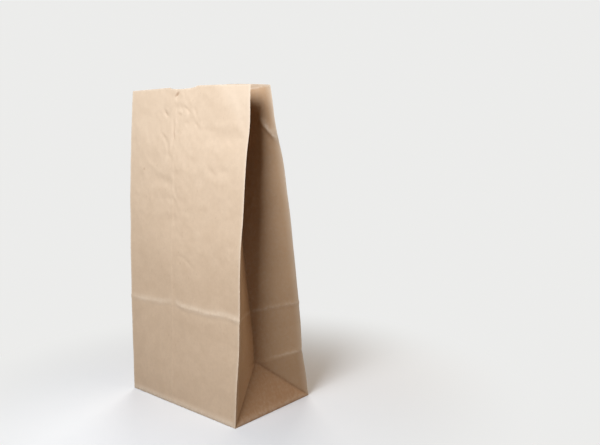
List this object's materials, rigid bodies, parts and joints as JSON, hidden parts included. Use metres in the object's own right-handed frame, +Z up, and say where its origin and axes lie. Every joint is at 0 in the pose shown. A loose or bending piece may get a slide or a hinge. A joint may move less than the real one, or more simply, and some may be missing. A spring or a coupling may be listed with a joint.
{
  "type": "paper bag",
  "caption": "Brown kraft paper lunch bag standing open, with gusseted sides, a flat glued bottom and a thumb notch.",
  "frame": {"origin": "middle of the bottom, on the surface that the bag stands on", "axes": "+Z up along the bag, -Y out of the front panel with the glue seam and the thumb notch, +X to its right"},
  "size_m": [0.127, 0.0795, 0.2488],
  "materials": {
    "kraft_paper": "matte brown kraft paper, machine finished, uncoated"
  },
  "bodies": {
    "root": {"paper_bag": "kraft_paper"}
  },
  "joints": []
}
